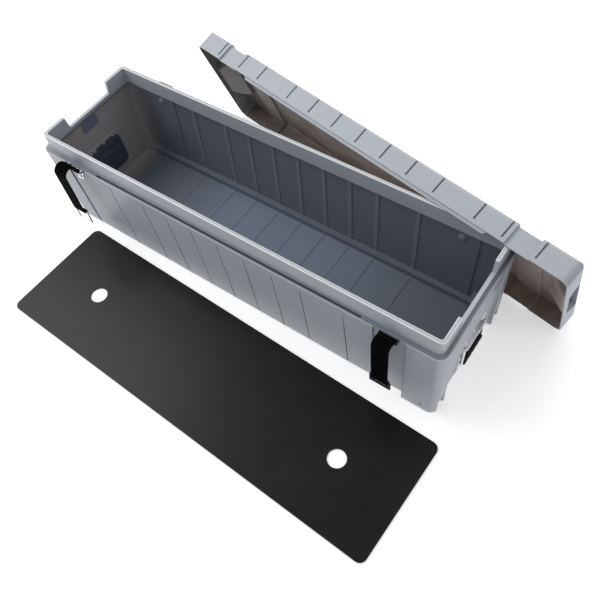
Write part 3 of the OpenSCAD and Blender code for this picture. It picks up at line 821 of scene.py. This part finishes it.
@dataclass
class Shells:
    """The case's shell, its lid, the caps inside and the bare name pad."""

    shop: Workshop
    rounding: float = 0.0008
    half: tuple[float, float] = (0.650, 0.1845)
    shoulder: float = 0.290
    taper: float = 0.0379
    lid_place: tuple[float, float, float] = (0.1647, 0.276911, 0.175886)
    lid_yaw: float = -10.9
    lid_turn: float = 17.5768 - 90
    strap_x: float = 0.511
    lip: tuple[float, float] = (0.3405, 0.0022)
    ridges: tuple[float, ...] = (0.0, 0.087, 0.174, 0.261, 0.385)
    ridge_half: float = 0.0016
    ridge_reach: float = 0.0075
    groove_skin: tuple[float, float] = (0.0026, 0.0006)
    seat: tuple[float, float, float] = (0.0715, 0.0655, 0.106)
    end_from: float = 0.6
    level_band: float = 0.001
    wall_skin: float = 0.0045
    wall_gap: float = 0.002
    floor_from: float = 0.005
    facing: float = 0.7
    upright: float = 0.5
    lid_line_half: float = 0.003
    lid_line_from: float = 0.009
    lid_top: float = 0.060
    lid_crown: float = 0.050
    lid_floor: float = 0.0005
    line_edge: float = 0.046
    skin: float = 0.026
    outward: float = 0.2
    slant: float = 0.25
    scoop: tuple[float, float, float] = (0.070, 0.086, 0.0585)
    scoop_from: float = 0.003
    scoop_floor: tuple[float, float, float] = (0.0135, 0.0111, 0.643)
    scoop_skin: float = 0.005
    scoop_down: float = 0.05
    scoop_out: float = 0.3
    # Shares of the inner tone, which is painted shade: on the scoop's hump, on the shelf under the
    # rim, on the end walls' inner faces and on the ridges and caps, where the smaller shares stand
    # for painted light.
    hump_share: float = 0.92
    shelf_share: float = 0.75
    end_share: float = 0.85
    pale_share: float = 0.72
    channel: tuple[float, float] = (0.036, 0.007)
    pad_size: tuple[float, float] = (0.060, 0.049)
    pad_place: tuple[float, float, float] = (-0.6428, -0.012, 0.2575)
    pad_thick: float = 0.0012
    pad_corner: float = 0.004
    pad_edge: float = 0.0003
    draft: float = 2.172

    def build(self) -> None:
        """Builds the shells."""
        case, lid = Body.CASE.value, Body.LID.value
        soften = self.shop.soften
        soften(
            "base_shell", case, CASE_PLASTIC, Slot.SHELL, self.rounding,
            inside=self.in_case, join=False, lip=self.lip,
        )
        soften("lid_shell", lid, LID_PLASTIC, Slot.SHELL, self.rounding, inside=self.in_lid)
        # The caps inside the case get the ridges' share of the inner tone: painted shade lightened
        # by painted light.
        soften(
            "anchor_caps", case, CASE_PLASTIC, Slot.SHELL, self.rounding, least=CURVED,
            inside=lambda middle, normal: self.pale_share,
        )
        self.name_pad()

    def in_case(self, point: Vector, normal: Vector) -> float:
        """Gives the share of the inner tone, which is painted shade, of a face of the case's shell,
        or more for a handle's seat.

        Args:
            point: Middle of the face.
            normal: Its normal.

        Returns:
            The share; 2 on the inner side of a handle's seat and -1 in a groove, which get painted
            shade of their own.
        """
        x, y, z = point
        wall = self.half[1] - (self.shoulder - z) * self.taper
        near = min(abs(abs(x) - place) for place in self.ridges)
        deep, shallow = self.groove_skin
        in_skin = wall - deep < abs(y) < wall - shallow
        # Faces in a groove of the outer wall are marked for painted shade.
        if near < self.ridge_half and in_skin and z < self.shoulder:
            return -1.0
        # The shelf under the rim gets much of the inner tone: painted shade cast by the rim.
        if abs(z - self.shoulder) < self.level_band and normal.z > self.facing:
            return self.shelf_share
        shy = (self.shoulder - z) * self.taper + self.wall_skin
        within = abs(x) < self.half[0] - shy and abs(y) < self.half[1] - shy
        if not (within and z > self.floor_from):
            return 0.0
        if z > self.shoulder - self.level_band:
            return 0.0
        at_end = abs(x) > self.end_from
        # Faces behind a handle's dish are marked for the seat's dark patch, which is partly painted
        # shade.
        if at_end and abs(y) < self.seat[0] and abs(z - self.seat[2]) < self.seat[1]:
            return 2.0
        # Inner faces of the end walls get less of the inner tone: painted light where the light
        # falls on them.
        if at_end and abs(normal.x) > self.facing:
            return self.end_share
        inward = abs(y) < self.half[1] - shy - self.wall_gap
        # Inner faces on the ridges get less of the inner tone: a painted highlight where the ridges
        # catch the light.
        if near < self.ridge_reach and abs(normal.z) < self.upright and inward:
            return self.pale_share
        # All other inner faces get the full painted shade.
        return 1.0

    def in_lid(self, point: Vector, normal: Vector) -> float:
        """Gives the share of the inner tone, which is painted shade, of a face of the leaning lid.

        Args:
            point: Middle of the face.
            normal: Its normal.

        Returns:
            The share; -1 in a groove, which gets painted shade of its own.
        """
        yaw = Matrix.Rotation(math.radians(self.lid_yaw), 3, "Z")
        turn = yaw @ Matrix.Rotation(math.radians(self.lid_turn), 3, "X")
        x, y, z = turn.transposed() @ (point - Vector(self.lid_place))
        sunk = self.channel[1] if abs(abs(x) - self.strap_x) < self.channel[0] else 0.0
        top = self.lid_top - sunk
        end = self.half[0] - abs(x)
        facing = turn.transposed() @ normal
        out_x = math.copysign(facing.x, facing.x * x)
        out_y = math.copysign(facing.y, facing.y * y)
        deep, wide, high = self.scoop
        # Faces of the hump under the scoop, inside the lid, get most of the inner tone as painted
        # shade; the rest of the scoop keeps the outer tone.
        if self.scoop_from < end < deep and abs(y) < wide and z < high:
            base, start, slope = self.scoop_floor
            floor = base + max(0.0, end - start) * slope
            under = facing.z < -self.scoop_down and z < floor + self.scoop_skin
            hump = under or out_x < -self.scoop_out or out_y > self.scoop_out
            return self.hump_share if hump else 0.0
        lines = self.ridges + tuple(self.strap_x + way * self.line_edge for way in (-1, 1))
        near = min(abs(abs(x) - place) for place in lines)
        deep, shallow = self.groove_skin
        in_skin = self.half[1] - deep < abs(y) < self.half[1] - shallow
        # Faces in a groove of the lid's long walls are marked for painted shade.
        if near < self.lid_line_half and in_skin and z > self.lid_line_from:
            return -1.0
        between = self.lid_floor < z < top and end > self.wall_gap
        if not (between and abs(y) < self.half[1] - self.wall_gap - sunk):
            return 0.0
        out = out_x if end < self.skin else 0.0
        if self.half[1] - abs(y) < self.skin:
            out += out_y
        if z > self.lid_crown:
            out += facing.z
        if out > self.outward:
            return 0.0
        # Inner faces slanted across X get less of the inner tone, as painted light on them; the
        # rest get the full painted shade.
        return self.pale_share if abs(facing.x) > self.slant else 1.0

    def name_pad(self) -> bpy.types.Object:
        """Builds the bare raised pad high on the inner face of the left end.

        Returns:
            The pad.
        """
        bm = bmesh.new()
        bmesh.ops.create_cube(bm, size=1.0)
        size = (self.pad_thick, self.pad_size[0], self.pad_size[1])
        bmesh.ops.scale(bm, vec=size, verts=bm.verts)
        upright = [e for e in bm.edges if abs((e.verts[0].co - e.verts[1].co).x) > 1e-6]
        self.bevel(bm, upright, self.pad_corner, 4)
        rim = [
            e
            for e in bm.edges
            if all(v.co.x > 0 for v in e.verts) and e.calc_face_angle(0) > math.radians(40)
        ]
        self.bevel(bm, rim, self.pad_edge, 2)
        lean = Matrix.Rotation(math.radians(-self.draft), 3, "Y")
        bmesh.ops.rotate(bm, cent=(0, 0, 0), matrix=lean, verts=bm.verts)
        bmesh.ops.translate(bm, vec=self.pad_place, verts=bm.verts)
        return self.shop.piece(bm, "name_pad", Body.CASE.value, PAD_PLASTIC, Slot.SHELL)

    @staticmethod
    def bevel(
        bm: bmesh.types.BMesh, edges: Iterable[bmesh.types.BMEdge], width: float, steps: int
    ) -> None:
        """Rounds the given edges.

        Args:
            bm: The mesh.
            edges: Its edges to round.
            width: Width of the rounding in metres.
            steps: Steps of the rounding.
        """
        bmesh.ops.bevel(
            bm,
            geom=list(edges),
            offset=width,
            segments=steps,
            profile=0.5,
            affect="EDGES",
            material=-1,
        )


@dataclass
class CoverSheet:
    """The loose black sheet that covers the gear."""

    shop: Workshop
    rounding: float = 0.0009

    def build(self) -> None:
        """Builds the sheet."""
        self.shop.soften(
            "cover_sheet",
            Body.SHEET.value,
            SHEET_PLASTIC,
            Slot.SHEET,
            self.rounding,
            least=CURVED,
        )


@dataclass
class EndHandle:
    """One sunk handle: dished plate, bail, moulded grip, rivets and washers."""

    shop: Workshop
    way: Way
    pivot_x: float = 0.6496
    painted_to: float = 0.6375
    grip_z: float = 0.072
    grip_half: float = 0.050
    grip_r: float = 0.0074
    waist: float = 0.0005
    waves: int = 5
    rounded: tuple[float, float] = (0.96, 0.04)
    rounded_by: float = 0.0022
    bore: float = 0.0033
    steps: int = 60
    turns: int = 40

    def build(self) -> None:
        """Builds the handle's pieces."""
        end = self.way.name.lower()
        case = Body.CASE.value
        # The dish's back inside the case is marked for the metal's dark, dull inside tone.
        self.shop.soften(
            "handle_plate_" + end, case, PLATED, Slot.STEEL, SMALL, least=PRESSED,
            inside=lambda middle, normal: 1.0 if abs(middle.x) < self.painted_to else 0.0,
        )
        for node in ("handle_rivets_" + end, "rivet_washers_" + end):
            self.shop.soften(node, case, BRIGHT, Slot.STEEL, HAIR, segments=1, least=CURVED)
        self.shop.dress("handle_bail_" + end, BRIGHT)
        self.grip(end)

    def grip(self, end: str) -> bpy.types.Object:
        """Turns the rubber grip with its shallow finger waves and rounded ends.

        Args:
            end: Name of the end.

        Returns:
            The grip.
        """
        bm = bmesh.new()
        points = []
        for i in range(self.steps + 1):
            t = i / self.steps * 2 - 1
            wave = 0.5 - 0.5 * math.cos(math.pi * self.waves * (t + 1))
            r = self.grip_r - self.waist * (1 - wave)
            shy = max(0.0, abs(t) - self.rounded[0]) / self.rounded[1]
            r -= self.rounded_by * (1 - math.sqrt(max(0.0, 1 - shy * shy)))
            points.append(bm.verts.new((0, t * self.grip_half, r)))
        points.append(bm.verts.new((0, self.grip_half, self.bore)))
        points.insert(0, bm.verts.new((0, -self.grip_half, self.bore)))
        edges = [bm.edges.new(pair) for pair in zip(points, points[1:])]
        edges.append(bm.edges.new((points[-1], points[0])))
        bmesh.ops.spin(
            bm,
            geom=points + edges,
            cent=(0, 0, 0),
            axis=(0, 1, 0),
            dvec=(0, 0, 0),
            angle=2 * math.pi,
            steps=self.turns,
            use_merge=True,
        )
        bmesh.ops.remove_doubles(bm, verts=bm.verts, dist=1e-6)
        bmesh.ops.recalc_face_normals(bm, faces=bm.faces)
        bmesh.ops.translate(bm, vec=(self.way.value * self.pivot_x, 0, self.grip_z), verts=bm.verts)
        node = "handle_grip_" + end
        return self.shop.piece(bm, node + "_form", "bail_" + end, GRIP_RUBBER, Slot.GRIP, (node,))


@dataclass
class CornerWheel:
    """One wheel sunk in a lower corner, and its axle."""

    shop: Workshop
    side: Side

    def build(self) -> None:
        """Builds the wheel and its axle."""
        name = self.side.name.lower()
        wheel, axle = "wheel_" + name, "axle_" + name
        self.shop.soften(wheel, wheel, TYRE_RUBBER, Slot.WHEEL, THIN, least=PRESSED)
        self.shop.soften(axle, Body.CASE.value, BLACK_METAL, Slot.STEEL, THIN, least=CURVED)


@dataclass
class Strap:
    """One doubled webbing strap, sewn round its anchor bar and round its buckle's bar."""

    shop: Workshop
    side: Side
    way: Way
    rise: float
    bend: float
    hang: float
    bar: tuple[float, float, float] = (0.511, 0.189269, 0.283815)
    half_width: float = 0.023
    half_thick: float = 0.0015
    eye: float = 0.0045
    sewn_from: float = 0.022
    sewn: float = 0.036
    close_at: float = 70.5
    shy: float = 0.0006
    fold: float = 0.0004
    split: float = 0.0003
    flat_steps: int = 8
    eye_steps: int = 32
    rise_steps: int = 4
    bend_steps: int = 28
    hang_steps: int = 16

    @property
    def place(self) -> str:
        """Names the strap's place."""
        return f"{self.side.name.lower()}_{self.way.name.lower()}"

    def stations(self) -> list[tuple[float, float, float, float]]:
        """Walks the strap's middle line.

        Returns:
            Outward and upward place, heading in radians and length so far of each station.
        """
        line: list[tuple[float, float, float]] = []
        for i in range(self.eye_steps + 1):
            a = math.radians(self.close_at + (360 - self.close_at) * i / self.eye_steps)
            line.append((self.eye * math.cos(a), self.eye * math.sin(a), a + math.pi / 2))
        up = math.pi / 2 + 2 * math.pi
        if self.rise:
            for i in range(1, self.rise_steps + 1):
                line.append((self.eye, self.rise * i / self.rise_steps, up))
        for i in range(1, self.bend_steps + 1):
            a = math.pi - math.pi * i / self.bend_steps
            line.append((
                self.eye + self.bend + self.bend * math.cos(a),
                self.rise + self.bend * math.sin(a),
                up - math.pi * i / self.bend_steps,
            ))
        down = up - math.pi
        far = self.eye + 2 * self.bend
        for i in range(1, self.hang_steps + 1):
            v = self.rise - (self.rise + self.hang) * i / self.hang_steps
            line.append((far, v, down))
        for i in range(1, self.eye_steps + 1):
            a = -math.radians((360 - self.close_at) * i / self.eye_steps)
            line.append((
                2 * self.bend + self.eye * math.cos(a),
                self.eye * math.sin(a) - self.hang,
                down + a,
            ))
        walked, out = 0.0, []
        for k, (u, v, heading) in enumerate(line):
            if k:
                walked += math.hypot(u - line[k - 1][0], v - line[k - 1][1])
            out.append((u, v, heading, walked))
        return out

    def build(self) -> bpy.types.Object:
        """Sweeps the strap's section along its line.

        Returns:
            The strap.
        """
        w, t = self.half_width, self.half_thick
        reach = 2 * w - 2 * self.shy
        steps = self.flat_steps
        flat = [(-w + self.shy + reach * i / steps, -t) for i in range(steps + 1)]
        lower = [(w, -t + self.fold), (w, -self.split)]
        upper = [(w, self.split), (w, t - self.fold)]
        half = flat + lower + [(w - self.shy, 0.0)] + upper
        ring = half + [(-x, -y) for x, y in half]
        bm = bmesh.new()
        along = bm.verts.layers.float.new("along")
        across = bm.verts.layers.float.new("across")
        sewn = bm.verts.layers.float.new("sewn")
        walk = self.stations()
        total = walk[-1][3]

        def frame_at(k: int) -> Matrix:
            """Gives the section's frame: x across, y out of the belt, z ahead.

            Args:
                k: Number of the station.

            Returns:
                The frame.
            """
            u, v, heading, _ = walk[k]
            ahead = Vector((0, math.cos(heading), math.sin(heading)))
            out = Vector((0, math.sin(heading), -math.cos(heading)))
            turn = Matrix((Vector((1, 0, 0)), out, ahead)).transposed().to_4x4()
            return Matrix.Translation((0, u, v)) @ turn

        verts = [bm.verts.new(frame_at(0) @ Vector((x, y, 0))) for x, y in ring]
        for vert, (x, _) in zip(verts, ring):
            vert[across] = x
        face = bmesh.ops.contextual_create(bm, geom=verts)["faces"][0]
        for k in range(1, len(walk)):
            step = frame_at(k) @ frame_at(k - 1).inverted()
            geom = bmesh.ops.extrude_face_region(bm, geom=[face])["geom"]
            fresh = [g for g in geom if isinstance(g, bmesh.types.BMVert)]
            face = next(g for g in geom if isinstance(g, bmesh.types.BMFace))
            bmesh.ops.transform(bm, matrix=step, verts=fresh)
            run = walk[k][3]
            for vert in fresh:
                vert[along] = run
                near = min(run, total - run)
                in_seam = self.sewn_from < near < self.sewn_from + self.sewn
                vert[sewn] = 1.0 if in_seam else 0.0
        x, y, z = self.bar
        bmesh.ops.scale(bm, vec=(1, self.side.value, 1), verts=bm.verts)
        where = (self.way.value * x, self.side.value * y, z)
        bmesh.ops.translate(bm, vec=where, verts=bm.verts)
        bmesh.ops.recalc_face_normals(bm, faces=bm.faces)
        node = "strap_" + self.place
        return self.shop.piece(bm, node + "_belt", node, BELT, Slot.WEBBING, (node,), 50.0)


@dataclass
class StrapFittings:
    """Anchors, bolts, wire hooks and slotted buckles of the four straps."""

    shop: Workshop
    buckle_rounding: float = 0.0006

    def build(self) -> None:
        """Dresses the fittings."""
        case = Body.CASE.value
        for place, finish in (
            ("front_left", BRIGHT),
            ("front_right", BLACK_METAL),
            ("rear_left", BLACK_METAL),
            ("rear_right", BRIGHT),
        ):
            self.shop.soften("anchor_" + place, case, finish, Slot.STEEL, THIN, least=CURVED)
        self.shop.soften("anchor_bolts", case, BRIGHT, Slot.STEEL, THIN, least=CURVED)
        for node in ("wire_hook_front_left", "wire_hook_rear_right"):
            self.shop.dress(node, BRIGHT)
        for node in ("slot_buckle_front_right", "slot_buckle_rear_left"):
            self.shop.soften(
                node, node, BLACK_METAL, Slot.BLACK, self.buckle_rounding, segments=3, least=CURVED
            )


@dataclass
class Studio:
    """Pale floor, soft lights and the camera at the photograph's angle."""

    eye: tuple[float, float, float] = (0.86318, -0.82706, 1.60314)
    turn: tuple[float, float, float] = (32.3173, 5.2210, 35.0286)
    lens: float = 39.717
    sensor: float = 36.0
    clip_end: float = 60.0
    floor_size: float = 14.0
    floor_drop: float = 0.0003
    paper: Colour = (0.93, 0.93, 0.93)
    glow: float = 0.5
    band: float = 0.34
    band_top: float = 0.2
    zenith: float = 0.45

    def build(self) -> None:
        """Sets the floor, lights and camera."""
        self.floor()
        self.camera()
        self.lamp("key_light", (-2.1, -0.6, 2.6), (0.0, 0.0, 0.2), 2.2, 42.0)
        self.lamp("front_light", (-1.3, -2.6, 1.2), (0.0, -0.18, 0.15), 1.8, 6.0)
        self.lamp("side_light", (2.6, 0.4, 1.8), (0.4, 0.0, 0.2), 1.8, 6.0)
        self.lamp("back_light", (0.0, 2.4, 2.4), (0.0, 0.1, 0.3), 2.6, 30.0)
        self.air()
        bpy.context.scene.view_settings.view_transform = "Standard"

    def air(self) -> None:
        """Surrounds the scene with a soft band of light that fades towards the zenith."""
        world = bpy.data.worlds.new("studio_air")
        world.use_nodes = True
        tree = world.node_tree
        ahead = tree.nodes.new("ShaderNodeTexCoord")
        split = tree.nodes.new("ShaderNodeSeparateXYZ")
        fade = tree.nodes.new("ShaderNodeMapRange")
        fade.interpolation_type = "SMOOTHSTEP"
        for place, value in ((1, self.band_top), (2, 1.0), (3, self.band), (4, self.zenith)):
            fade.inputs[place].default_value = value
        tree.links.new(ahead.outputs["Generated"], split.inputs[0])
        tree.links.new(split.outputs["Z"], fade.inputs[0])
        tree.links.new(fade.outputs[0], tree.nodes["Background"].inputs["Strength"])
        tree.nodes["Background"].inputs["Color"].default_value = (1.0, 1.0, 1.0, 1.0)
        bpy.context.scene.world = world

    def floor(self) -> None:
        """Lays the pale floor."""
        bm = bmesh.new()
        bmesh.ops.create_grid(bm, x_segments=1, y_segments=1, size=self.floor_size / 2)
        bmesh.ops.translate(bm, vec=(0, 0, -self.floor_drop), verts=bm.verts)
        mesh = bpy.data.meshes.new("studio_floor")
        bm.to_mesh(mesh)
        bm.free()
        s = Shader("studio_paper")
        s.dress(Base_Color=self.paper, Roughness=0.9, Specular_IOR_Level=0.1)
        s.dress(Emission_Color=self.paper, Emission_Strength=self.glow)
        mesh.materials.append(s.material)
        floor = bpy.data.objects.new("studio_floor", mesh)
        bpy.context.scene.collection.objects.link(floor)

    def camera(self) -> None:
        """Sets the camera."""
        data = bpy.data.cameras.new("photo_camera")
        data.sensor_fit = "HORIZONTAL"
        data.sensor_width = self.sensor
        data.lens = self.lens
        data.clip_end = self.clip_end
        camera = bpy.data.objects.new("photo_camera", data)
        camera.location = self.eye
        camera.rotation_euler = Euler([math.radians(a) for a in self.turn], "XYZ")
        bpy.context.scene.collection.objects.link(camera)
        bpy.context.scene.camera = camera

    def lamp(
        self, name: str, place: Sequence[float], aim: Sequence[float], size: float, power: float
    ) -> None:
        """Hangs one soft square light.

        Args:
            name: Name of the light.
            place: Its place.
            aim: Point that it faces.
            size: Side of its square.
            power: Power in watts.
        """
        data = bpy.data.lights.new(name, "AREA")
        data.shape = "SQUARE"
        data.size = size
        data.energy = power
        lamp = bpy.data.objects.new(name, data)
        lamp.location = place
        lamp.rotation_euler = (Vector(aim) - Vector(place)).to_track_quat("-Z", "Y").to_euler()
        bpy.context.scene.collection.objects.link(lamp)


def main() -> None:
    """Builds the scene in order."""
    logging.basicConfig(level=logging.INFO, format="%(name)s: %(message)s")
    Studio().build()
    shop = Workshop(Finishes())
    Shells(shop).build()
    CoverSheet(shop).build()
    for way in Way:
        EndHandle(shop, way).build()
    for side in Side:
        CornerWheel(shop, side).build()
    for side, way, rise, bend, hang in (
        (Side.FRONT, Way.LEFT, 0.015, 0.021, 0.128),
        (Side.FRONT, Way.RIGHT, 0.0, 0.015, 0.158),
        (Side.REAR, Way.LEFT, 0.0, 0.009, 0.158),
        (Side.REAR, Way.RIGHT, 0.0, 0.007, 0.158),
    ):
        Strap(shop, side, way, rise, bend, hang).build()
    StrapFittings(shop).build()


if __name__ == "__main__":
    main()
